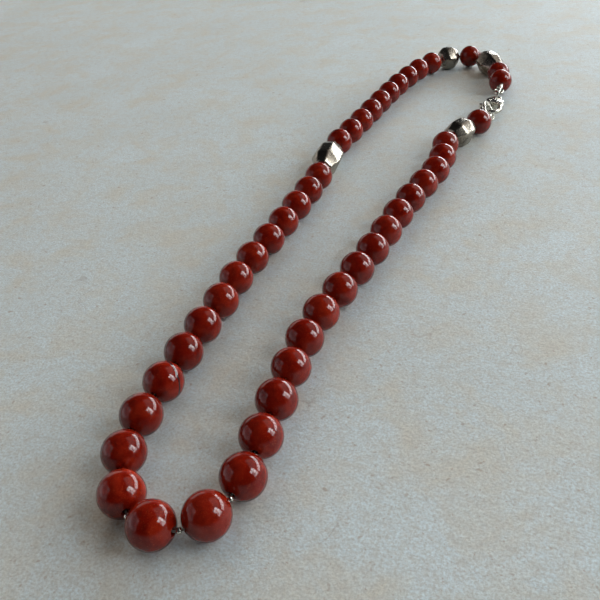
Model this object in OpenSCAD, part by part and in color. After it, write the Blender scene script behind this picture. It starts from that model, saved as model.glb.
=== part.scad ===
// A necklace of round red stone beads and silver nuggets on one thread,
// closed by a small lobster clasp. It lies flat on a table as a long narrow loop.

/* [Beads] */
// Diameter of a red bead
bead_d = 8; // [7:0.1:8]
// Diameter of the drilled hole in every threaded piece
bore_d = 1.0; // [0.9:0.05:1.1]
// Width of the bevel round the mouth of each hole
bevel = 0.3; // [0.25:0.05:0.35]

/* [Thread and spacers] */
// Diameter of the thread
thread_d = 0.44; // [0.3:0.02:0.5]
// Diameter of a silver spacer
spacer_d = 1.1; // [1:0.05:1.15]
// Diameter of the hole in a spacer
spacer_bore_d = 0.7; // [0.65:0.05:0.75]

/* [Silver nuggets] */
// Radius of a nugget's rounded edges
nugget_edge = 0.5; // [0.3:0.1:0.6]

/* [Crimp ends] */
// Diameter of a crimp tube
crimp_d = 2; // [1.6:0.1:2.4]
// Length of a crimp tube
crimp_len = 2.5; // [2.45:0.05:2.6]
// Radius of the eye on a crimp tube, to the middle of its wire
eye_r = 1.5; // [1.4:0.05:1.5]
// Diameter of the eye's wire
eye_wire = 0.7; // [0.6:0.05:0.7]

/* [Rings] */
// Outer diameter of the ring that the clasp hooks into
hook_ring_d = 7; // [6.8:0.1:7.2]
// Outer diameter of the ring on the clasp's tail
tail_ring_d = 5.8; // [5.7:0.1:6]
// Diameter of the ring wire
ring_wire = 0.9; // [0.8:0.05:0.9]

/* [Clasp] */
// Length of the clasp from its nose to its tail
clasp_len = 14.8; // [14.7:0.1:14.9]
// Width of the hook
clasp_w = 7.4; // [7.2:0.1:7.6]
// Thickness of the clasp's body
clasp_t = 2.4; // [2.2:0.1:2.6]
// Diameter of the rod that the hook is bent from
hook_rod = 1.6; // [1.4:0.1:1.6]
// Diameter of the rivet that the lever turns on
rivet_d = 0.8; // [0.7:0.1:0.9]
// How far the lever is pushed open
lever_open = 0; // [0:1:20]

/* [Hidden] */
// Each run of red beads in the order of threading, and the length of the nugget after it
runs = [
    [1, 10],
    [32, 14],
    [10, 7.5],
    [1, 14],
    [2, 0],
];
RUN_BEADS = 0;
RUN_NUGGET = 1;
// The run that is one node of its own, because it is the plain stretch at the back
back_run = 2;

// The thread's way round the loop on the table, seen from above
route = [
    [21.5, 60], [20.5, 53], [18.5, 45], [14.8, 37.5], [13.4, 30], [14.6, 21.3], [14.8, 12.5], [13.4, 1],
    [12, -10], [11.4, -22], [10.6, -34], [9.2, -48], [8, -60], [8.2, -68], [9.4, -79],
    [10.8, -91], [12.2, -100], [11, -108.5], [7.8, -112.8], [3, -114.6], [-2, -113.5], [-6, -110],
    [-9.6, -104], [-11.6, -97], [-12.6, -88], [-14, -72], [-14.6, -60], [-15.6, -48], [-15.4, -30],
    [-15.6, -16], [-16.2, 0], [-18, 12], [-19, 22], [-18.2, 34], [-17.4, 48], [-16.6, 64],
    [-15.6, 78], [-13, 94], [-10.2, 102.5], [-6.2, 109.2], [-0.8, 113.2], [5.6, 112.8], [11, 107.8],
    [16, 99], [18.8, 90], [20.4, 82], [20.5, 76], [20, 70],
];
route_steps = 8;
// The middle of the whole loop on the route's own grid, where the part has its origin
middle = [0.65, -0.5];
// Sides of the turned pieces, of the thread and of the nuggets' rounded edges
round_fn = 48;
thread_sides = 8;
edge_fn = 12;

// Length of thread that one bead and its gap take up
bead_pitch = 8.8;
// A nugget takes this much more thread than it is long
nugget_room = 1.3;
lie_z = bead_d / 2;

function mix(a, b, t) = a + (b - a) * t;
function bend(p, q, r, s, t) =
    0.5 * (2 * q + (r - p) * t + (2 * p - 5 * q + 4 * r - s) * t * t
        + (3 * q - p - 3 * r + s) * t * t * t);
function unit(v) = v / norm(v);
function heading(v) = atan2(v[1], v[0]);

path = [
    for (i = [1 : len(route) - 3], j = [0 : route_steps - 1])
        bend(route[i - 1], route[i], route[i + 1], route[i + 2], j / route_steps) - middle
];
path_at = [
    for (i = 0, s = 0; i < len(path);
        s = s + (i + 1 < len(path) ? norm(path[i + 1] - path[i]) : 0), i = i + 1) s
];
function step_before(s, low, high) =
    high - low <= 1 ? low
        : let (mid = floor((low + high) / 2))
            path_at[mid] <= s ? step_before(s, mid, high) : step_before(s, low, mid);
function lies_at(s) =
    let (i = step_before(s, 0, len(path) - 1))
        mix(path[i], path[i + 1], (s - path_at[i]) / (path_at[i + 1] - path_at[i]));
function place(s) = concat(lies_at(s), lie_z);
function along(s, half) = unit(lies_at(s + half) - lies_at(s - half));

// The bare thread before the first bead's gap
thread_lead = 0.2;

// Where the runs, beads and nuggets sit along the thread
function run_start(k) =
    k == 0 ? thread_lead
        : run_start(k - 1) + runs[k - 1][RUN_BEADS] * bead_pitch
            + (runs[k - 1][RUN_NUGGET] > 0 ? runs[k - 1][RUN_NUGGET] + nugget_room : 0);
function run_beads(k) =
    [for (i = [0 : runs[k][RUN_BEADS] - 1]) run_start(k) + (i + 0.5) * bead_pitch];
function run_nugget(k) =
    run_start(k) + runs[k][RUN_BEADS] * bead_pitch + (runs[k][RUN_NUGGET] + nugget_room) / 2;
single_beads = [for (k = [0 : len(runs) - 1]) if (k != back_run) each run_beads(k)];
nugget_runs = [for (k = [0 : len(runs) - 1]) if (runs[k][RUN_NUGGET] > 0) k];
// Every threaded piece as its middle and half its length along the thread
threaded = [
    for (k = [0 : len(runs) - 1])
        each concat(
            [for (s = run_beads(k)) [s, bead_d / 2]],
            runs[k][RUN_NUGGET] > 0 ? [[run_nugget(k), runs[k][RUN_NUGGET] / 2]] : []
        )
];
MIDDLE = 0;
HALF = 1;
function mouth(piece, side) =
    place(piece[MIDDLE])
        + side * piece[HALF] * concat(along(piece[MIDDLE], piece[HALF]), 0);

function numbered(name, i) = str(name, i < 10 ? "0" : "", i);
bead_names = [for (i = [1 : len(single_beads)]) numbered("bead_", i)];
nugget_names = [for (i = [1 : len(nugget_runs)]) str("silver_nugget_", i)];

// Lays a piece that is modelled along X on the thread, at a distance along it
module threaded_at(s, half) {
    translate(place(s))
        rotate(heading(along(s, half)))
            children();
}

// The hole along X with a bevel at each mouth, for a piece of this length
module drilled(length, bevel_from) {
    rotate([0, 90, 0])
        cylinder(h = length + 2, d = bore_d, center = true, $fn = 24);
    for (side = [-1, 1])
        translate([side * bevel_from, 0, 0])
            rotate([0, side * 90, 0])
                translate([0, 0, -bevel])
                    cylinder(h = 2 * bevel, r1 = bore_d / 2, r2 = bore_d / 2 + 2 * bevel,
                        $fn = 24);
}

module red_bead() {
    color("firebrick")
        difference() {
            rotate([0, 90, 0])
                sphere(d = bead_d, $fn = 64);
            drilled(bead_d, sqrt(pow(bead_d / 2, 2) - pow(bore_d / 2 + bevel, 2)));
        }
}

module back_beads() {
    for (s = run_beads(back_run))
        threaded_at(s, bead_d / 2)
            red_bead();
}

// A silver nugget has six broad facets along its length and a flat face at each end.
// Each row is a ring of corners: its place along half the length, and its reach.
nugget_rings = [
    [-1, 0.56],
    [-0.42, 1],
    [0.38, 1],
    [1, 0.6],
];
// How far each of the six ridges reaches and how it is turned from an even place,
// beginning with the two ridges that stand on the table
ridge_reach = [1, 1, 0.97, 0.94, 0.91, 1];
ridge_turn = [0, 0, 12, 1, -12, -6];
nugget_r = (bead_d / 2 - nugget_edge) / cos(30);

module nugget_solid(length) {
    hull()
        for (ring = nugget_rings, ridge = [0 : 5])
            translate([ring[0] * (length / 2 - nugget_edge), 0, 0])
                rotate([240 + 60 * ridge + ridge_turn[ridge], 0, 0])
                    translate([0, nugget_r * ring[1] * ridge_reach[ridge], 0])
                        sphere(r = nugget_edge, $fn = edge_fn);
}

module silver_nugget(length) {
    color("silver")
        difference() {
            nugget_solid(length);
            drilled(length, length / 2);
        }
}

module silver_spacers() {
    color("silver")
        for (i = [0 : len(threaded) - 2]) {
            from = mouth(threaded[i], 1);
            to = mouth(threaded[i + 1], -1);
            translate((from + to) / 2)
                rotate(heading(to - from))
                    rotate([0, 90, 0])
                        difference() {
                            sphere(d = spacer_d, $fn = 24);
                            cylinder(h = 2 * spacer_d, d = spacer_bore_d, center = true,
                                $fn = 24);
                        }
        }
}

// The crimp ends point at each other across the clasp, and dip towards the table
mouths = [mouth(threaded[0], -1), mouth(threaded[len(threaded) - 1], 1)];
crimp_turn = [heading(mouths[1] - mouths[0]), heading(mouths[0] - mouths[1])];
crimp_dip = 10;
crimp_gap = 0.3;
eye_at = crimp_len + eye_r;
function crimp_point(end, reach) =
    mouths[end] + (crimp_gap + reach) * [cos(crimp_turn[end]) * cos(crimp_dip),
        sin(crimp_turn[end]) * cos(crimp_dip), -sin(crimp_dip)];

module at_crimp(end) {
    translate(crimp_point(end, 0))
        rotate([0, crimp_dip, crimp_turn[end]])
            children();
}

module wire_ring(r, wire) {
    rotate_extrude($fn = round_fn)
        translate([r, 0])
            circle(d = wire, $fn = 24);
}

module crimp_end(end) {
    color("silver")
        at_crimp(end) {
            rotate([0, 90, 0])
                difference() {
                    cylinder(h = crimp_len, d = crimp_d, $fn = 32);
                    translate([0, 0, -1])
                        cylinder(h = crimp_len, d = thread_d + 0.2, $fn = 24);
                }
            translate([eye_at, 0, 0])
                wire_ring(eye_r, eye_wire);
        }
}

// The clasp chain runs straight from one eye to the other, and all its places
// are distances along that line and heights over the table
eyes = [crimp_point(0, eye_at), crimp_point(1, eye_at)];
chain_turn = heading(eyes[1] - eyes[0]);
chain_way = [cos(chain_turn), sin(chain_turn), 0];
slack = 0.25;
module on_chain(from, reach, z) {
    translate([eyes[from][0], eyes[from][1], z] + reach * chain_way)
        rotate(chain_turn)
            children();
}
// A ring's wire rests in an eye this far from the eye's middle
wire_seat = eye_r - eye_wire / 2 - ring_wire / 2 - slack;

// The two rings stand on the table on their edges
table_gap = 0.03;
hook_ring_r = (hook_ring_d - ring_wire) / 2;
hook_ring_lean = 30;
hook_ring_z = hook_ring_r * cos(hook_ring_lean) + ring_wire / 2 + table_gap;
module hook_ring() {
    color("silver")
        on_chain(0, wire_seat + hook_ring_r, hook_ring_z)
            rotate([90 - hook_ring_lean, 0, 0])
                wire_ring(hook_ring_r, ring_wire);
}

tail_ring_r = (tail_ring_d - ring_wire) / 2;
tail_ring_lean = 20;
tail_ring_z = tail_ring_r * cos(tail_ring_lean) + ring_wire / 2 + table_gap;
module tail_ring() {
    color("silver")
        on_chain(1, -wire_seat - tail_ring_r, tail_ring_z)
            rotate([90 + tail_ring_lean, 0, 0])
                wire_ring(tail_ring_r, ring_wire);
}

// The clasp lies level, its nose in the hook ring. Its own X runs from nose to tail.
clasp_z = 2.5;
hook_r = (clasp_w - hook_rod) / 2;
hook_c = [hook_r + hook_rod / 2, 0];
// The hook is open on its lever side, up to this angle round its middle
hook_tip_angle = 110;
hook_tip = hook_c + hook_r * [cos(hook_tip_angle), sin(hook_tip_angle)];
barrel_c = [9, 0];
barrel_d = 4.8;
shoulder_c = [7.8, -2];
shoulder_d = 3.2;
pivot = [8.9, 0.9];
hub_d = 2.2;
tail_eye_r = 1.75;
tail_eye_wire = 1.1;
tail_c = [clasp_len - tail_eye_r - tail_eye_wire / 2, 0];
// The tail's eye is drawn against the tail ring, and that sets where the nose comes
tail_end = wire_seat + 2 * tail_ring_r - ring_wire / 2 - slack - tail_eye_wire;
nose_at = norm(eyes[1] - eyes[0]) - tail_end - clasp_len;
// A slight thickening of the hook's round tip and of the place where its bend meets
// the straight back
knuckle = 0.15;
knuckle_d = hook_rod + knuckle;
lever_t = 1.2;
lever_w = 1.1;
lever_tip_gap = 0.1;
lever_end = hook_tip + (knuckle_d / 2 + lever_tip_gap) * unit(pivot - hook_tip);
thumb_root = [6.9, 1.5];
thumb = [6.1, 3.5];
thumb_d = 1.5;
hinge_play = 0.1;
rivet_play = 0.02;
// The slot takes the lever and its thumb piece from shut to fully open
slot_from = 100;
slot_to = 185;
slot_reach = 5;

// A flat bar seen from above, and a round plate that lies level about its middle
module bar(from, to, width) {
    translate(from)
        rotate(heading(to - from))
            translate([0, -width / 2])
                square([norm(to - from), width]);
}

module disc(at, d, h) {
    translate(at)
        cylinder(h = h, d = d, center = true, $fn = 32);
}

module place_clasp() {
    on_chain(0, nose_at, clasp_z)
        children();
}

module lever_slot() {
    slot_t = lever_t + 2 * hinge_play;
    disc(pivot, hub_d + 4 * hinge_play, slot_t);
    translate([0, 0, -slot_t / 2])
        linear_extrude(slot_t) {
            polygon([
                pivot,
                for (a = [slot_from, (slot_from + slot_to) / 2, slot_to])
                    pivot + slot_reach * [cos(a), sin(a)]
            ]);
            bar(pivot, pivot + slot_reach * [cos(slot_to), sin(slot_to)],
                lever_w + 2 * hinge_play);
        }
}

module clasp_body() {
    color("silver")
        place_clasp()
            difference() {
                union() {
                    translate(hook_c)
                        rotate(hook_tip_angle)
                            rotate_extrude(angle = 270 - hook_tip_angle, $fn = round_fn)
                                translate([hook_r, 0])
                                    circle(d = hook_rod, $fn = 24);
                    translate(hook_tip)
                        sphere(d = knuckle_d, $fn = 24);
                    translate(hook_c - [0, hook_r]) {
                        rotate([0, 90, 0])
                            cylinder(h = shoulder_c[0] - hook_c[0], d = hook_rod, $fn = 24);
                        sphere(d = knuckle_d, $fn = 24);
                    }
                    disc(shoulder_c, shoulder_d, clasp_t);
                    disc(barrel_c, barrel_d, clasp_t);
                    translate(tail_c)
                        wire_ring(tail_eye_r, tail_eye_wire);
                }
                lever_slot();
                disc(pivot, rivet_d + 2 * rivet_play, clasp_t + 2);
            }
}

module clasp_lever() {
    color("gainsboro")
        place_clasp()
            translate(pivot)
                rotate(lever_open)
                    translate(-pivot)
                        difference() {
                            union() {
                                disc(pivot, hub_d, lever_t);
                                translate([0, 0, -lever_t / 2])
                                    linear_extrude(lever_t) {
                                        bar(pivot, lever_end, lever_w);
                                        bar(thumb_root, thumb, lever_w);
                                    }
                                disc(thumb, thumb_d, lever_t);
                            }
                            disc(pivot, rivet_d + hinge_play, lever_t + 2);
                        }
}

module clasp_rivet() {
    color("gray")
        place_clasp()
            disc(pivot, rivet_d, clasp_t);
}

// The thread is swept through every mouth, and ends inside the two crimp tubes
thread_end = crimp_len - 1.4;
thread_points = concat(
    [crimp_point(0, thread_end)],
    [for (piece = threaded) each [mouth(piece, -1), mouth(piece, 1)]],
    [crimp_point(1, thread_end)]
);
function thread_way(i) =
    let (last = len(thread_points) - 1,
        back = i == 0 ? [0, 0, 0] : unit(thread_points[i] - thread_points[i - 1]),
        ahead = i == last ? [0, 0, 0] : unit(thread_points[i + 1] - thread_points[i]))
        unit(back + ahead);
function thread_ring(i) =
    let (way = thread_way(i), side = unit(cross([0, 0, 1], way)), up = cross(way, side))
        [for (a = [0 : thread_sides - 1])
            thread_points[i] + thread_d / 2
                * (cos(a * 360 / thread_sides) * side + sin(a * 360 / thread_sides) * up)];

module thread() {
    count = len(thread_points);
    n = thread_sides;
    corners = [for (i = [0 : count - 1]) each thread_ring(i)];
    sides = [for (i = [0 : count - 2], a = [0 : n - 1])
        let (b = (a + 1) % n)
            [i * n + a, (i + 1) * n + a, (i + 1) * n + b, i * n + b]];
    ends = [[for (a = [0 : n - 1]) a], [for (a = [n - 1 : -1 : 0]) (count - 1) * n + a]];
    color("gray")
        polyhedron(points = corners, faces = concat(sides, ends));
}

for (i = [0 : len(bead_names) - 1])
    threaded_at(single_beads[i], bead_d / 2) red_bead();
back_beads();
for (i = [0 : len(nugget_names) - 1])
    threaded_at(run_nugget(nugget_runs[i]), runs[nugget_runs[i]][RUN_NUGGET] / 2)
            silver_nugget(runs[nugget_runs[i]][RUN_NUGGET]);
silver_spacers();
thread();
crimp_end(0);  // crimp_end_1
crimp_end(1);  // crimp_end_2
hook_ring();
tail_ring();
clasp_body();
clasp_lever();
clasp_rivet();
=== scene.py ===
"""A necklace of polished red jasper beads and silver nuggets, lying on a pale stone table."""
import math

import bmesh
import bpy
from mathutils import Matrix, Quaternion, Vector


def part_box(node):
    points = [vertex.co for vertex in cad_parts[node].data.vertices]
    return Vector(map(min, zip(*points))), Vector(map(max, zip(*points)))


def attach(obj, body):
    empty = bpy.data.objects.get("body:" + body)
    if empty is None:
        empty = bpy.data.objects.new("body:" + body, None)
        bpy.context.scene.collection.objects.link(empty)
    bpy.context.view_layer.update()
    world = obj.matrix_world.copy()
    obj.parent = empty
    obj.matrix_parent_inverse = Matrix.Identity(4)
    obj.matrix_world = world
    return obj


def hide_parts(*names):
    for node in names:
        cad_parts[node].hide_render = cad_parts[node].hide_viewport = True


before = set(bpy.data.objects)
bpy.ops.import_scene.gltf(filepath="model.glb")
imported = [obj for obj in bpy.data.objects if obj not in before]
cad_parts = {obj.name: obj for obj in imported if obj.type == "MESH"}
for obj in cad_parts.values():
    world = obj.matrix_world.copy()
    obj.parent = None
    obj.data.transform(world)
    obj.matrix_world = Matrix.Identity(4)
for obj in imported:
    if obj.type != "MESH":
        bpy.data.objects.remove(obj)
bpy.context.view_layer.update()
scene = bpy.context.scene
MM = 0.001

# The string. Lengths here are in millimetres, as in the part's source.
# The thread's way round the loop, seen from above
ROUTE = [
    (21.5, 60), (20.5, 53), (18.5, 45), (14.8, 37.5), (13.4, 30), (14.6, 21.3), (14.8, 12.5),
    (13.4, 1), (12, -10), (11.4, -22), (10.6, -34), (9.2, -48), (8, -60), (8.2, -68), (9.4, -79),
    (10.8, -91), (12.2, -100), (11, -108.5), (7.8, -112.8), (3, -114.6), (-2, -113.5), (-6, -110),
    (-9.6, -104), (-11.6, -97), (-12.6, -88), (-14, -72), (-14.6, -60), (-15.6, -48), (-15.4, -30),
    (-15.6, -16), (-16.2, 0), (-18, 12), (-19, 22), (-18.2, 34), (-17.4, 48), (-16.6, 64),
    (-15.6, 78), (-13, 94), (-10.2, 102.5), (-6.2, 109.2), (-0.8, 113.2), (5.6, 112.8),
    (11, 107.8), (16, 99), (18.8, 90), (20.4, 82), (20.5, 76), (20, 70),
]
# Steps of the smooth curve between two points of the route
ROUTE_STEPS = 8
# The point of the route that lies on the part's origin
MIDDLE = (0.65, -0.5)
# Red beads in each run, and the length of the nugget after it
RUNS = [(1, 10), (32, 14), (10, 7.5), (1, 14), (2, 0)]
BEAD_D = 8
BEAD_PITCH = 8.8
SPACER_D = 1.1
THREAD_D = 0.44
# Room along the thread that a nugget takes beside its own length
NUGGET_ROOM = 1.3
# Way along the route before the first bead's room
THREAD_LEAD = 0.2
# Radius of the drilled holes, and width of the bevel at their mouths
BORE_R = 0.5
BORE_BEVEL = 0.3
# Height of the thread above the table
LIE_Z = BEAD_D / 2


def route_path():
    """The route as a fine row of points with their distances along it."""
    points = []
    for i in range(1, len(ROUTE) - 2):
        p, q, r, s = (Vector(ROUTE[k]) for k in range(i - 1, i + 3))
        for j in range(ROUTE_STEPS):
            t = j / ROUTE_STEPS
            bend = (2 * p - 5 * q + 4 * r - s) * t ** 2
            twist = (3 * q - p - 3 * r + s) * t ** 3
            point = (2 * q + (r - p) * t + bend + twist) / 2
            points.append(point - Vector(MIDDLE))
    reach = [0.0]
    for a, b in zip(points, points[1:]):
        reach.append(reach[-1] + (b - a).length)
    return points, reach


PATH, REACH = route_path()


def lies_at(s):
    """The point of the route at a distance along it. The route's ends are carried on straight."""
    i = 0
    while i < len(PATH) - 2 and REACH[i + 1] <= s:
        i += 1
    t = (s - REACH[i]) / (REACH[i + 1] - REACH[i])
    return PATH[i].lerp(PATH[i + 1], t)


class Strung:
    """A bead or nugget on the thread: its middle, its way along the thread and its half length."""

    def __init__(self, kind, s, half):
        middle = lies_at(s)
        way = (lies_at(s + half) - lies_at(s - half)).normalized()
        self.kind = kind
        self.half = half * MM
        self.middle = Vector((middle.x, middle.y, LIE_Z)) * MM
        self.way = Vector((way.x, way.y, 0))

    def mouth(self, side):
        """The mouth of the hole, at the piece's start for side -1 and at its end for side 1."""
        return self.middle + side * self.half * self.way


def string_of_pieces():
    """Every bead and nugget in its order on the thread."""
    pieces = []
    s = THREAD_LEAD
    for beads, nugget in RUNS:
        for i in range(beads):
            pieces.append(Strung("bead", s + (i + 0.5) * BEAD_PITCH, BEAD_D / 2))
        s += beads * BEAD_PITCH
        if nugget:
            pieces.append(Strung("nugget", s + (nugget + NUGGET_ROOM) / 2, nugget / 2))
            s += nugget + NUGGET_ROOM
    return pieces


STRING = string_of_pieces()
BEADS = [p for p in STRING if p.kind == "bead"]
NUGGETS = [p for p in STRING if p.kind == "nugget"]


# Node trees
class Nodes:
    """A tree of nodes, with short ways to add nodes and to join them."""

    def __init__(self, tree):
        self.tree = tree

    def add(self, kind, **values):
        node = self.tree.nodes.new(kind)
        for key, value in values.items():
            setattr(node, key, value)
        return node

    def link(self, start, end):
        self.tree.links.new(start, end)

    def give(self, value, socket):
        """Sets a socket to a number, or links it to the socket that its value comes from."""
        if isinstance(value, (int, float)):
            socket.default_value = value
        else:
            self.link(value, socket)

    def math(self, operation, a, b=0.0):
        node = self.add("ShaderNodeMath", operation=operation)
        self.give(a, node.inputs[0])
        self.give(b, node.inputs[1])
        return node.outputs[0]


# Materials
class Shades(Nodes):
    """One material, whose patterns lie in the piece's own place."""

    def __init__(self, name):
        self.material = bpy.data.materials.new(name)
        self.material.use_nodes = True
        super().__init__(self.material.node_tree)
        self.tree.nodes.clear()
        self.shader = self.add("ShaderNodeBsdfPrincipled")
        out = self.add("ShaderNodeOutputMaterial")
        self.link(self.shader.outputs["BSDF"], out.inputs["Surface"])
        self.place = self.add("ShaderNodeTexCoord").outputs["Object"]

    def noise(self, scale, detail, rough=0.55, distort=0.0):
        """Cloudy noise of about this many clouds to a metre."""
        node = self.add("ShaderNodeTexNoise")
        node.inputs["Scale"].default_value = scale
        node.inputs["Detail"].default_value = detail
        node.inputs["Roughness"].default_value = rough
        node.inputs["Distortion"].default_value = distort
        self.link(self.place, node.inputs["Vector"])
        return node.outputs["Fac"]

    def attribute(self, name):
        """A number that the mesh itself holds."""
        return self.add("ShaderNodeAttribute", attribute_name=name).outputs["Fac"]

    def off(self, value, middle):
        """How far a value is from its middle."""
        return self.math("ABSOLUTE", self.math("SUBTRACT", value, middle))

    def span(self, value, low, high, at_low, at_high):
        """Runs from at_low to at_high while the value runs from low to high."""
        node = self.add("ShaderNodeMapRange")
        node.inputs["From Min"].default_value = low
        node.inputs["From Max"].default_value = high
        node.inputs["To Min"].default_value = at_low
        node.inputs["To Max"].default_value = at_high
        self.link(value, node.inputs["Value"])
        return node.outputs["Result"]

    def ramp(self, value, stops):
        """Colours that follow a value, from stops of a value and its colour."""
        node = self.add("ShaderNodeValToRGB")
        elements = node.color_ramp.elements
        while len(elements) < len(stops):
            elements.new(1.0)
        for element, (at, colour) in zip(elements, stops):
            element.position = at
            element.color = (*colour, 1)
        self.link(value, node.inputs["Fac"])
        return node.outputs["Color"]

    def mix(self, share, under, colour):
        """Lays a share of one colour over what is under it."""
        node = self.add("ShaderNodeMix", data_type="RGBA")
        factor, first, second = node.inputs[0], node.inputs[6], node.inputs[7]
        self.link(share, factor)
        self.link(under, first)
        second.default_value = (*colour, 1)
        return node.outputs[2]

    def bump(self, height, strength, distance):
        node = self.add("ShaderNodeBump")
        node.inputs["Strength"].default_value = strength
        node.inputs["Distance"].default_value = distance
        self.link(height, node.inputs["Height"])
        self.link(node.outputs["Normal"], self.shader.inputs["Normal"])

    def feed(self, name, value):
        self.give(value, self.shader.inputs[name])


def red_jasper():
    """Deep oxblood to brick red stone with cloudy mottling, a high polish and a rare dark vein."""
    reds = [
        (0.30, (0.097, 0.003, 0.0007)),
        (0.48, (0.162, 0.0045, 0.001)),
        (0.70, (0.258, 0.015, 0.004)),
    ]
    brick = (0.33, 0.043, 0.014)
    orange = (0.40, 0.055, 0.018)
    oxblood = (0.09, 0.003, 0.001)
    light_red = (0.25, 0.020, 0.008)
    wine = (0.07, 0.003, 0.002)
    vein_black = (0.014, 0.010, 0.012)
    m = Shades("red_jasper")
    stone = m.ramp(m.noise(260, detail=5, rough=0.62, distort=0.8), reds)
    fleck = m.noise(1700, detail=4, rough=0.65)
    stone = m.mix(m.span(fleck, 0.58, 0.76, 0.0, 0.35), stone, brick)
    spark = m.noise(4200, detail=3, rough=0.7)
    stone = m.mix(m.span(spark, 0.56, 0.70, 0.0, 0.55), stone, orange)
    tone = m.attribute("bead_tone")
    stone = m.mix(m.span(tone, 0.0, 0.5, 0.38, 0.0), stone, oxblood)
    stone = m.mix(m.span(tone, 0.6, 1.0, 0.0, 0.25), stone, light_red)
    off_wisp = m.off(m.noise(150, detail=4, distort=1.8), 0.47)
    stone = m.mix(m.span(off_wisp, 0.0, 0.010, 0.50, 0.0), stone, wine)
    wander = m.math("MULTIPLY", m.math("SUBTRACT", m.noise(450, detail=3), 0.5), 0.7)
    off_vein = m.math("ABSOLUTE", m.math("ADD", m.attribute("dark_vein"), wander))
    stone = m.mix(m.span(off_vein, 0.12, 0.26, 1.0, 0.0), stone, vein_black)
    m.feed("Base Color", stone)
    m.feed("Roughness", m.span(m.noise(900, detail=3), 0.3, 0.7, 0.06, 0.13))
    m.feed("IOR", 1.43)
    pits = m.math("ADD", m.noise(1300, detail=3), m.math("MULTIPLY", spark, 0.3))
    m.bump(pits, 0.07, 0.03 * MM)
    return m.material


def nugget_silver():
    """Old cast silver, polished over a dark brown tarnish, with soft dents from the mould."""
    metals = [
        (0.30, (0.16, 0.135, 0.105)),
        (0.52, (0.32, 0.285, 0.235)),
        (0.78, (0.46, 0.42, 0.36)),
    ]
    dark_brown = (0.13, 0.11, 0.09)
    m = Shades("nugget_silver")
    tarnish = m.noise(340, detail=5, rough=0.62, distort=0.5)
    dents = m.noise(230, detail=2, rough=0.4, distort=0.4)
    metal = m.mix(m.span(dents, 0.30, 0.48, 0.45, 0.0), m.ramp(tarnish, metals), dark_brown)
    m.feed("Base Color", metal)
    m.feed("Metallic", 1.0)
    m.feed("Roughness", m.span(tarnish, 0.3, 0.75, 0.32, 0.18))
    m.bump(dents, 0.4, 0.3 * MM)
    return m.material


def findings_silver():
    """Bright silver of the small fittings, a little yellowed, with worn and dull places."""
    metals = [(0.32, (0.52, 0.49, 0.42)), (0.62, (0.80, 0.78, 0.71))]
    m = Shades("findings_silver")
    wear = m.noise(750, detail=4, rough=0.6)
    m.feed("Base Color", m.ramp(wear, metals))
    m.feed("Metallic", 1.0)
    m.feed("Roughness", m.span(wear, 0.3, 0.7, 0.30, 0.16))
    m.bump(m.noise(2600, detail=2), 0.08, 0.04 * MM)
    return m.material


def thread_fibre():
    """Smoky nylon thread."""
    browns = [(0.35, (0.16, 0.13, 0.12)), (0.7, (0.36, 0.33, 0.31))]
    m = Shades("thread_fibre")
    m.feed("Base Color", m.ramp(m.noise(4000, detail=2), browns))
    m.feed("Roughness", 0.45)
    m.feed("IOR", 1.53)
    return m.material


def table_stone():
    """Pale limed stone: cool and cream clouds, fine grain, brown specks and hair scratches."""
    greys = [(0.34, (0.555, 0.625, 0.647)), (0.66, (0.607, 0.695, 0.733))]
    cream = (0.60, 0.556, 0.468)
    beige = (0.485, 0.44, 0.385)
    grain_grey = (0.41, 0.395, 0.36)
    speck_brown = (0.34, 0.26, 0.20)
    dust_brown = (0.36, 0.27, 0.21)
    scratch_brown = (0.30, 0.24, 0.21)
    m = Shades("table_stone")
    stone = m.ramp(m.noise(26, detail=6, rough=0.62), greys)
    stain = m.noise(75, detail=7, rough=0.68, distort=0.4)
    stone = m.mix(m.span(stain, 0.45, 0.66, 0.0, 0.80), stone, cream)
    mottle = m.noise(480, detail=4, rough=0.7)
    stone = m.mix(m.span(mottle, 0.46, 0.66, 0.0, 0.45), stone, beige)
    grain = m.noise(2100, detail=3, rough=0.7)
    stone = m.mix(m.span(grain, 0.36, 0.60, 0.72, 0.0), stone, grain_grey)
    speck = m.noise(620, detail=2, rough=0.5)
    stone = m.mix(m.span(speck, 0.66, 0.74, 0.0, 0.60), stone, speck_brown)
    dust = m.noise(1500, detail=3, rough=0.6)
    stone = m.mix(m.span(dust, 0.62, 0.70, 0.0, 0.60), stone, dust_brown)
    hair = m.span(m.off(m.noise(70, detail=1), 0.5), 0.0, 0.0035, 1.0, 0.0)
    here = m.span(m.noise(48, detail=1), 0.60, 0.64, 0.0, 0.4)
    stone = m.mix(m.math("MULTIPLY", hair, here), stone, scratch_brown)
    m.feed("Base Color", stone)
    m.feed("Roughness", 0.75)
    m.bump(m.noise(700, detail=6, rough=0.75), 0.35, 0.4 * MM)
    return m.material


# Meshes
def new_piece(name, mesh, material=None):
    piece = bpy.data.objects.new(name, mesh)
    scene.collection.objects.link(piece)
    if material:
        mesh.materials.clear()
        mesh.materials.append(material)
    return piece


def remove(piece):
    bpy.data.objects.remove(piece, do_unlink=True)


def mesh_from(bm, name):
    """Puts what bmesh made into a mesh of its own."""
    mesh = bpy.data.meshes.new(name)
    bm.to_mesh(mesh)
    bm.free()
    return mesh


def applied(piece, name):
    """The mesh that a piece's modifiers make, under its own name. The piece itself goes."""
    evaluated = piece.evaluated_get(bpy.context.evaluated_depsgraph_get())
    mesh = bpy.data.meshes.new_from_object(evaluated)
    mesh.name = name
    piece.modifiers.clear()
    remove(piece)
    return mesh


def smooth(mesh):
    for face in mesh.polygons:
        face.use_smooth = True


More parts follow.
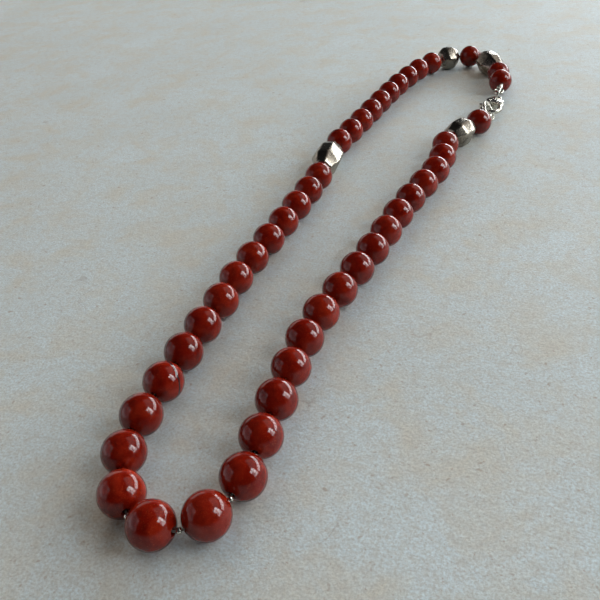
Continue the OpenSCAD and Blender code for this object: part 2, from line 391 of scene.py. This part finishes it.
def worn(piece, width, segments, sharper_than):
    """Rounds a piece's edges where they are sharper than an angle in degrees."""
    bevel = piece.modifiers.new("wear", "BEVEL")
    bevel.width = width
    bevel.segments = segments
    bevel.limit_method = "ANGLE"
    bevel.angle_limit = math.radians(sharper_than)
    return bevel


def stands_for(piece, body, slot, *nodes):
    """Makes a finished piece ride on a body in place of CAD nodes."""
    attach(piece, body)
    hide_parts(*nodes)


def rings_round_x(bm, profile, sides):
    """A ring of points round the X axis for each (x, radius) of a profile."""
    turns = [2 * math.pi * k / sides for k in range(sides)]
    return [[bm.verts.new((x, r * math.cos(a), r * math.sin(a))) for a in turns]
            for x, r in profile]


def skin_between(bm, ring, after):
    for k in range(len(ring)):
        n = (k + 1) % len(ring)
        bm.faces.new((ring[k], ring[n], after[n], after[k]))


# The angle from which an edge of a turned form stays hard
TURNED_CREASE = 32


def turned_form(name, profile, sides):
    """A closed form turned round the X axis."""
    bm = bmesh.new()
    rings = rings_round_x(bm, profile, sides)
    for i, ring in enumerate(rings):
        skin_between(bm, ring, rings[(i + 1) % len(rings)])
    bmesh.ops.recalc_face_normals(bm, faces=bm.faces)
    for face in bm.faces:
        face.smooth = True
    for edge in bm.edges:
        edge.smooth = edge.calc_face_angle(0) < math.radians(TURNED_CREASE)
    return new_piece(name, mesh_from(bm, name))


def bead_profile(bore, bevel, steps):
    """A ball of diameter 1, drilled through, with a bevel at each mouth of the hole."""
    r = 0.5
    start = math.asin((bore + bevel) / r)
    arc = [start + (math.pi - 2 * start) * k / steps for k in range(steps + 1)]
    ball = [(r * math.cos(a), r * math.sin(a)) for a in arc]
    inner = r * math.cos(start) - bevel
    return ball + [(-inner, bore), (inner, bore)]


def points_piece(name, middles, ways):
    """Loose points with the way that each threaded piece faces."""
    mesh = bpy.data.meshes.new(name)
    mesh.from_pydata([tuple(p) for p in middles], [], [])
    way = mesh.attributes.new("way", "FLOAT_VECTOR", "POINT")
    for i, w in enumerate(ways):
        way.data[i].vector = w
    return new_piece(name, mesh)


# Geometry Nodes
class Tree(Nodes):
    """A Geometry Nodes tree, with each named input's kind of socket."""

    def __init__(self, name, **inputs):
        super().__init__(bpy.data.node_groups.new(name, "GeometryNodeTree"))
        self.socket("Geometry", "OUTPUT", "Geometry")
        self.socket("Geometry", "INPUT", "Geometry")
        for title, kind in inputs.items():
            self.socket(title, "INPUT", kind)
        self.inputs = self.add("NodeGroupInput")
        self.output = self.add("NodeGroupOutput")

    def socket(self, name, way, kind):
        self.tree.interface.new_socket(name, in_out=way, socket_type="NodeSocket" + kind)

    def given(self, name):
        return self.inputs.outputs[name]

    def chance(self, low, high, seed):
        """A number between two others for each copy, the same in every run."""
        node = self.add("FunctionNodeRandomValue", data_type="FLOAT")
        self.give(low, node.inputs["Min"])
        self.give(high, node.inputs["Max"])
        self.give(seed, node.inputs["Seed"])
        return node.outputs[1]

    def finish(self, geometry):
        """Realizes what was made, gives it the chosen finish and puts it out."""
        whole = self.add("GeometryNodeRealizeInstances")
        dressed = self.add("GeometryNodeSetMaterial")
        self.link(geometry, whole.inputs["Geometry"])
        self.link(whole.outputs["Geometry"], dressed.inputs["Geometry"])
        self.link(self.given("finish"), dressed.inputs["Material"])
        self.link(dressed.outputs["Geometry"], self.output.inputs["Geometry"])


def put_on(host, made_by, **values):
    """Gives a piece a tree, with the tree's inputs set by their identifiers."""
    modifier = host.modifiers.new("made", "NODES")
    modifier.node_group = made_by.tree
    for item in made_by.tree.interface.items_tree:
        if item.name in values:
            modifier[item.identifier] = values[item.name]


def threaded_tree():
    """Copies one form to every point of the string, turned along the thread, no two alike."""
    t = Tree("threaded_pieces", form="Object", diameter="Float", smallest_share="Float",
             seed="Int", finish="Material")
    seed = t.given("seed")
    form = t.add("GeometryNodeObjectInfo", transform_space="ORIGINAL")
    t.link(t.given("form"), form.inputs["Object"])
    way = t.add("GeometryNodeInputNamedAttribute", data_type="FLOAT_VECTOR")
    way.inputs["Name"].default_value = "way"
    along = t.add("FunctionNodeAlignRotationToVector", axis="X")
    t.link(way.outputs["Attribute"], along.inputs["Vector"])
    turn = t.add("FunctionNodeAxisAngleToRotation")
    turn.inputs["Axis"].default_value = (1, 0, 0)
    t.link(t.chance(0.0, 2 * math.pi, seed), turn.inputs["Angle"])
    both = t.add("FunctionNodeRotateRotation", rotation_space="LOCAL")
    t.link(along.outputs["Rotation"], both.inputs["Rotation"])
    t.link(turn.outputs["Rotation"], both.inputs["Rotate By"])
    share = t.chance(t.given("smallest_share"), 1.0, t.math("ADD", seed, 7))
    copies = t.add("GeometryNodeInstanceOnPoints")
    t.link(t.given("Geometry"), copies.inputs["Points"])
    t.link(form.outputs["Geometry"], copies.inputs["Instance"])
    t.link(both.outputs["Rotation"], copies.inputs["Rotation"])
    t.link(t.math("MULTIPLY", t.given("diameter"), share), copies.inputs["Scale"])
    tone = t.add("GeometryNodeStoreNamedAttribute", data_type="FLOAT", domain="INSTANCE")
    tone.inputs["Name"].default_value = "bead_tone"
    t.link(copies.outputs["Instances"], tone.inputs["Geometry"])
    t.link(t.chance(0.0, 1.0, t.math("ADD", seed, 19)), tone.inputs["Value"])
    t.finish(tone.outputs["Geometry"])
    return t


def laid_thread_tree():
    """Twists strands round a path, as a laid beading thread."""
    # A strand's own radius and its way off the thread's middle, as shares of the thread's width
    strand_r = 0.25
    strand_off = 0.24
    strand_step = 0.32 * MM
    strand_sides = 7
    t = Tree("laid_thread", thread_width="Float", strands="Int", turn_length="Float",
             finish="Material")
    fine = t.add("GeometryNodeResampleCurve", mode="LENGTH")
    fine.inputs["Length"].default_value = strand_step
    t.link(t.given("Geometry"), fine.inputs["Curve"])
    copies = t.add("GeometryNodeDuplicateElements", domain="SPLINE")
    t.link(fine.outputs["Curve"], copies.inputs["Geometry"])
    t.link(t.given("strands"), copies.inputs["Amount"])
    along = t.add("GeometryNodeSplineParameter").outputs["Length"]
    turns = t.math("DIVIDE", along, t.given("turn_length"))
    start = t.math("DIVIDE", copies.outputs["Duplicate Index"], t.given("strands"))
    angle = t.math("MULTIPLY", t.math("ADD", turns, start), 2 * math.pi)
    normal = t.add("GeometryNodeInputNormal").outputs[0]
    tangent = t.add("GeometryNodeInputTangent").outputs[0]
    side = t.add("ShaderNodeVectorMath", operation="CROSS_PRODUCT")
    t.link(normal, side.inputs[0])
    t.link(tangent, side.inputs[1])
    reach = t.math("MULTIPLY", t.given("thread_width"), strand_off)

    def part(way, share):
        """A share of the strand's reach along one way."""
        scaled = t.add("ShaderNodeVectorMath", operation="SCALE")
        t.link(way, scaled.inputs[0])
        t.link(t.math("MULTIPLY", share, reach), scaled.inputs["Scale"])
        return scaled.outputs[0]

    out = t.add("ShaderNodeVectorMath", operation="ADD")
    t.link(part(normal, t.math("COSINE", angle)), out.inputs[0])
    t.link(part(side.outputs[0], t.math("SINE", angle)), out.inputs[1])
    moved = t.add("GeometryNodeSetPosition")
    t.link(copies.outputs["Geometry"], moved.inputs["Geometry"])
    t.link(out.outputs[0], moved.inputs["Offset"])
    strand = t.add("GeometryNodeCurvePrimitiveCircle", mode="RADIUS")
    strand.inputs["Resolution"].default_value = strand_sides
    t.link(t.math("MULTIPLY", t.given("thread_width"), strand_r), strand.inputs["Radius"])
    swept = t.add("GeometryNodeCurveToMesh")
    swept.inputs["Fill Caps"].default_value = True
    t.link(moved.outputs["Geometry"], swept.inputs["Curve"])
    t.link(strand.outputs["Curve"], swept.inputs["Profile Curve"])
    t.finish(swept.outputs["Mesh"])
    return t


# The string's pieces
JASPER = red_jasper()
NUGGET = nugget_silver()
FINDINGS = findings_silver()
FIBRE = thread_fibre()
TABLE = table_stone()

BEAD_NODES = [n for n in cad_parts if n.startswith("bead_")] + ["back_beads"]
SMALLEST_BEAD = 0.985
# The bead that has a dark vein, where a flat seam in the stone meets its surface: its place
# on the string, the way that the seam faces, and how far off the bead's middle it lies
VEINED = 22
VEIN_FACES = Vector((0.42, 0.86, -0.27)).normalized()
VEIN_OFF_MIDDLE = 1.27
# A spacer's hole and its bevel, as shares of its diameter
SPACER_BORE = 0.32
SPACER_BEVEL = 0.012
# How far the thread goes on past the first and last bead, into the crimps
THREAD_END = 1.3
THREAD_STRANDS = 3
# Length in which a strand goes once round the thread
THREAD_TURN = 1.6


def make_beads(tree):
    """All the red beads, one of them with a dark vein."""
    profile = bead_profile(BORE_R / BEAD_D, BORE_BEVEL / BEAD_D, steps=30)
    form = turned_form("bead_form", profile, sides=48)
    host = points_piece("bead_places", [b.middle for b in BEADS], [b.way for b in BEADS])
    put_on(host, tree, form=form, diameter=BEAD_D * MM, smallest_share=SMALLEST_BEAD,
           seed=11, finish=JASPER)
    beads = new_piece("red_beads", applied(host, "red_beads"), JASPER)
    remove(form)
    seam = beads.data.attributes.new("dark_vein", "FLOAT", "POINT")
    for v in beads.data.vertices:
        off = (v.co - BEADS[VEINED].middle) / MM
        on_bead = off.length < BEAD_PITCH / 2
        seam.data[v.index].value = off.dot(VEIN_FACES) - VEIN_OFF_MIDDLE if on_bead else BEAD_D
    stands_for(beads, "necklace", "red_stone", *BEAD_NODES)


def make_spacers(tree):
    """A small drilled ball in the middle of each gap."""
    profile = bead_profile(SPACER_BORE, SPACER_BEVEL, steps=12)
    form = turned_form("spacer_form", profile, sides=20)
    gaps = [(a.mouth(1), b.mouth(-1)) for a, b in zip(STRING, STRING[1:])]
    middles = [(start + end) / 2 for start, end in gaps]
    ways = [(end - start).normalized() for start, end in gaps]
    host = points_piece("spacer_places", middles, ways)
    put_on(host, tree, form=form, diameter=SPACER_D * MM, smallest_share=1.0,
           seed=5, finish=FINDINGS)
    spacers = new_piece("silver_balls", applied(host, "silver_balls"), FINDINGS)
    remove(form)
    stands_for(spacers, "necklace", "findings_silver", "silver_spacers")


def thread_end(piece, side, crimp):
    """The thread's end, on the way from a piece's mouth to the middle of its crimp."""
    low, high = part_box(crimp)
    way = (low + high) / 2 - piece.mouth(side)
    return piece.mouth(side) + way.normalized() * THREAD_END * MM


def make_thread(tree):
    points = [thread_end(STRING[0], -1, "crimp_end_1")]
    for piece in STRING:
        points += [piece.mouth(-1), piece.mouth(1)]
    points.append(thread_end(STRING[-1], 1, "crimp_end_2"))
    curve = bpy.data.curves.new("thread_way", "CURVE")
    curve.dimensions = "3D"
    spline = curve.splines.new("POLY")
    spline.points.add(len(points) - 1)
    for point, co in zip(spline.points, points):
        point.co = (*co, 1)
    host = new_piece("thread_way", curve)
    put_on(host, tree, thread_width=THREAD_D * MM, strands=THREAD_STRANDS,
           turn_length=THREAD_TURN * MM, finish=FIBRE)
    thread = new_piece("beading_thread", applied(host, "beading_thread"), FIBRE)
    smooth(thread.data)
    stands_for(thread, "necklace", "thread", "thread")


# A nugget's corner reaches out by this radius times its ring's share and its ridge's share,
# and by the gain on top
RIDGE_APART = 60
RIDGE_GAIN = 0.5
NUGGET_R = (BEAD_D / 2 - RIDGE_GAIN) / math.cos(math.radians(RIDGE_APART / 2))
# Each ring's place as a share of the half length, and its share of the radius
NUGGET_RINGS = [(-1, 0.56), (-0.42, 1), (0.38, 1), (1, 0.6)]
# Each ridge's share of the radius, and the degrees that it stands off its even place
NUGGET_RIDGES = [(1, 0), (1, 0), (0.97, 12), (0.94, 1), (0.91, -12), (1, -6)]
# The first ridge's turn, which lays a facet on the table
FIRST_RIDGE = 240
# How wide the ridges are worn, and the angle from which an edge stays hard
RIDGE_WEAR = 0.55
NUGGET_CREASE = 34
# How far the drill goes on past the nugget's ends
DRILL_PAST = 0.4


def nugget_drill(half):
    """What the drill takes out of a nugget: a bore with a bevel at each mouth."""
    wide = BORE_R + BORE_BEVEL + DRILL_PAST
    profile = [(-half - DRILL_PAST, wide), (-half + BORE_BEVEL, BORE_R),
               (half - BORE_BEVEL, BORE_R), (half + DRILL_PAST, wide)]
    bm = bmesh.new()
    rings = rings_round_x(bm, [(x * MM, r * MM) for x, r in profile], sides=28)
    for ring, after in zip(rings, rings[1:]):
        skin_between(bm, ring, after)
    bm.faces.new(rings[0])
    bm.faces.new(rings[-1])
    bmesh.ops.recalc_face_normals(bm, faces=bm.faces)
    return new_piece("nugget_drill", mesh_from(bm, "nugget_drill"))


def make_nugget(number, nugget):
    """A nugget of cast silver: broad facets, softly rounded ridges and a drilled hole."""
    name = f"cast_nugget_{number}"
    half = nugget.half / MM
    bm = bmesh.new()
    for place, share in NUGGET_RINGS:
        for i, (ridge, off) in enumerate(NUGGET_RIDGES):
            a = math.radians(FIRST_RIDGE + RIDGE_APART * i + off)
            reach = NUGGET_R * share * ridge + RIDGE_GAIN
            bm.verts.new((place * half, reach * math.cos(a), reach * math.sin(a)))
    bmesh.ops.convex_hull(bm, input=bm.verts)
    bmesh.ops.dissolve_limit(bm, angle_limit=math.radians(1), verts=bm.verts, edges=bm.edges)
    bmesh.ops.scale(bm, vec=(MM, MM, MM), verts=bm.verts)
    bmesh.ops.recalc_face_normals(bm, faces=bm.faces)
    rough = new_piece(f"nugget_{number}", mesh_from(bm, f"nugget_{number}"))
    worn(rough, RIDGE_WEAR * MM, segments=4, sharper_than=8)
    drill = nugget_drill(half)
    hole = rough.modifiers.new("hole", "BOOLEAN")
    hole.operation = "DIFFERENCE"
    hole.object = drill
    hole.solver = "EXACT"
    mesh = applied(rough, name)
    remove(drill)
    turn = Matrix.Rotation(math.atan2(nugget.way.y, nugget.way.x), 4, "Z")
    mesh.transform(Matrix.Translation(nugget.middle) @ turn)
    piece = new_piece(name, mesh, NUGGET)
    smooth(mesh)
    mesh.set_sharp_from_angle(angle=math.radians(NUGGET_CREASE))
    stands_for(piece, "necklace", "nugget_silver", f"silver_nugget_{number}")


# How wide a fitting's edges are worn, and how near two of its corners count as one
EDGE_WEAR = 0.12
SAME_CORNER = 0.002


def make_fitting(node, body):
    """A copy of a metal part with its hard edges rubbed round, as after tumbling."""
    name = f"polished_{node}"
    bm = bmesh.new()
    bm.from_mesh(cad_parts[node].data)
    bmesh.ops.remove_doubles(bm, verts=bm.verts, dist=SAME_CORNER * MM)
    bmesh.ops.dissolve_limit(bm, angle_limit=math.radians(0.5), verts=bm.verts, edges=bm.edges)
    rough = new_piece(f"{name}_rough", mesh_from(bm, f"{name}_rough"))
    smooth(rough.data)
    wear = worn(rough, EDGE_WEAR * MM, segments=3, sharper_than=35)
    wear.harden_normals = True
    piece = new_piece(name, applied(rough, name), FINDINGS)
    stands_for(piece, body, "findings_silver", node)


threaded = threaded_tree()
make_beads(threaded)
make_spacers(threaded)
make_thread(laid_thread_tree())
for number, nugget in enumerate(NUGGETS, 1):
    make_nugget(number, nugget)
for node in ("clasp_body", "clasp_rivet", "hook_ring", "tail_ring", "crimp_end_1", "crimp_end_2"):
    make_fitting(node, "necklace")
make_fitting("clasp_lever", "clasp_lever")


# Table, light and camera. Lengths here are in metres and angles in degrees.
TABLE_HALF = 1.0
# How far the table lies below the pieces, so that no faces share a plane
TABLE_DROP = 0.02 * MM
CAMERA_PLACE = (0.05435, -0.1585, 0.089518)
CAMERA_PITCH = 36.2932
CAMERA_ROLL = -6.2669
# The camera's turn to the left, away from the part's +Y
CAMERA_YAW = 27
CAMERA_LENS = 40.14
DAYLIGHT = (0.94, 0.98, 1.0)
SKY = (0.90, 0.975, 1.0)
WARM_WALL = (1.0, 0.93, 0.88)
WARM_FILL = (1.0, 0.86, 0.70)
MAUVE_WALL = (1.0, 0.90, 0.97)
# The room's walls near the floor and above, and the heights between which they change
WALL_FOOT = (0.30, 0.31, 0.31, 1)
WALL_TOP = (0.013, 0.0135, 0.015, 1)
WALL_FOOT_Z = 0.06
WALL_TOP_Z = 0.24
# A pane's shares of its field in the window, and how much brighter the first column is
PANE_WIDE = 0.88
PANE_HIGH = 0.92
FIRST_COLUMN = 1.25


def make_table():
    r = TABLE_HALF
    mesh = bpy.data.meshes.new("table")
    mesh.from_pydata([(-r, -r, 0), (r, -r, 0), (r, r, 0), (-r, r, 0)], [], [(0, 1, 2, 3)])
    table = new_piece("table", mesh, TABLE)
    table.location.z = -TABLE_DROP


def toward(azimuth, elevation, distance):
    """A place seen from the necklace. Azimuth turns clockwise from the way the camera looks."""
    a = math.radians(azimuth - CAMERA_YAW)
    e = math.radians(elevation)
    return Vector((math.sin(a) * math.cos(e), math.cos(a) * math.cos(e), math.sin(e))) * distance


def soft_light(name, place, width, height, radiance, colour, facing=None):
    """A flat light that faces the necklace, as bright as asked per unit of its face."""
    light = bpy.data.lights.new(name, "AREA")
    light.shape = "RECTANGLE"
    light.size = width
    light.size_y = height
    light.energy = radiance * math.pi * width * height
    light.color = colour
    lamp = bpy.data.objects.new(name, light)
    lamp.location = place
    lamp.rotation_mode = "QUATERNION"
    lamp.rotation_quaternion = (facing or place).to_track_quat("Z", "Y")
    scene.collection.objects.link(lamp)
    return lamp


def window(name, middle, width, height, columns, rows, radiance):
    """Panes of daylight with glazing bars between them, seen in what is polished."""
    outward = middle.normalized()
    across = outward.cross(Vector((0, 0, 1))).normalized()
    upward = across.cross(outward)
    field_w = width / columns
    field_h = height / rows
    for column in range(columns):
        bright = radiance * (FIRST_COLUMN if column == 0 else 1)
        for row in range(rows):
            place = middle + across * (column + 0.5 - columns / 2) * field_w
            place += upward * (row + 0.5 - rows / 2) * field_h
            pane = soft_light(f"{name}_{column}_{row}", place, field_w * PANE_WIDE,
                              field_h * PANE_HIGH, bright, DAYLIGHT, outward)
            pane.visible_diffuse = False


def make_lights():
    """Windows and walls for the polish to mirror, and soft daylight that shades the stone."""
    window("long_window", toward(52, 13, 1.5), 1.85, 0.42, columns=5, rows=2, radiance=11.5)
    window("tall_window", toward(105, 31, 1.2), 0.52, 0.80, columns=2, rows=3, radiance=13.5)
    left_wall = soft_light("left_wall", toward(-90, 22, 1.3), 1.3, 1.0, 1.0, MAUVE_WALL)
    left_wall.rotation_quaternion @= Quaternion((0, 0, 1), math.radians(28))
    mirrored = [
        left_wall,
        soft_light("lit_ceiling", toward(55, 44, 1.5), 1.2, 0.9, 0.70, WARM_WALL),
        soft_light("far_wall", toward(-25, 10, 1.6), 1.0, 0.5, 0.65, WARM_WALL),
    ]
    shading = [
        soft_light("high_daylight", toward(54, 34, 2.4), 2.3, 2.0, 0.62, SKY),
        soft_light("low_daylight", toward(52, 13, 1.5), 1.85, 0.42, 8.85, SKY),
        soft_light("side_daylight", toward(105, 31, 1.2), 0.6, 0.9, 8.45, SKY),
        soft_light("far_daylight", toward(10, 15, 1.5), 1.2, 0.5, 7.7, SKY),
        soft_light("left_glow", toward(-90, 22, 1.3), 1.3, 1.0, 0.6, WARM_FILL),
        soft_light("ceiling_glow", toward(-40, 60, 1.8), 1.6, 1.2, 1.15, WARM_FILL),
    ]
    for lamp in mirrored:
        lamp.visible_diffuse = False
    for lamp in shading:
        lamp.visible_glossy = False


def make_room():
    """Far walls that are pale near the floor and dim above, all round."""
    world = bpy.data.worlds.new("room")
    world.use_nodes = True
    room = Nodes(world.node_tree)
    way = room.add("ShaderNodeTexCoord").outputs["Generated"]
    parts = room.add("ShaderNodeSeparateXYZ")
    wall = room.add("ShaderNodeValToRGB")
    wall.color_ramp.interpolation = "EASE"
    foot, top = wall.color_ramp.elements
    foot.position = WALL_FOOT_Z
    foot.color = WALL_FOOT
    top.position = WALL_TOP_Z
    top.color = WALL_TOP
    room.link(way, parts.inputs["Vector"])
    room.link(parts.outputs["Z"], wall.inputs["Fac"])
    room.link(wall.outputs["Color"], world.node_tree.nodes["Background"].inputs["Color"])
    scene.world = world


def make_camera():
    """The view of the photograph: low over the near end, turned to the left and rolled a little."""
    pitch = math.radians(CAMERA_PITCH)
    roll = math.radians(CAMERA_ROLL)
    ahead = Vector((0, math.cos(pitch), -math.sin(pitch)))
    right = Vector((1, 0, 0))
    up = right.cross(ahead)
    turn = Matrix.Rotation(math.radians(CAMERA_YAW), 3, "Z")
    rolled_right = math.cos(roll) * right + math.sin(roll) * up
    rolled_up = math.cos(roll) * up - math.sin(roll) * right
    axes = Matrix((turn @ rolled_right, turn @ rolled_up, turn @ -ahead)).transposed()
    data = bpy.data.cameras.new("camera")
    data.lens = CAMERA_LENS
    data.sensor_width = 36
    data.sensor_fit = "HORIZONTAL"
    data.clip_start = 0.005
    data.clip_end = 10
    camera = bpy.data.objects.new("camera", data)
    camera.matrix_world = Matrix.Translation(CAMERA_PLACE) @ axes.to_4x4()
    scene.collection.objects.link(camera)
    scene.camera = camera


make_table()
make_lights()
make_camera()
make_room()
scene.view_settings.view_transform = "Standard"
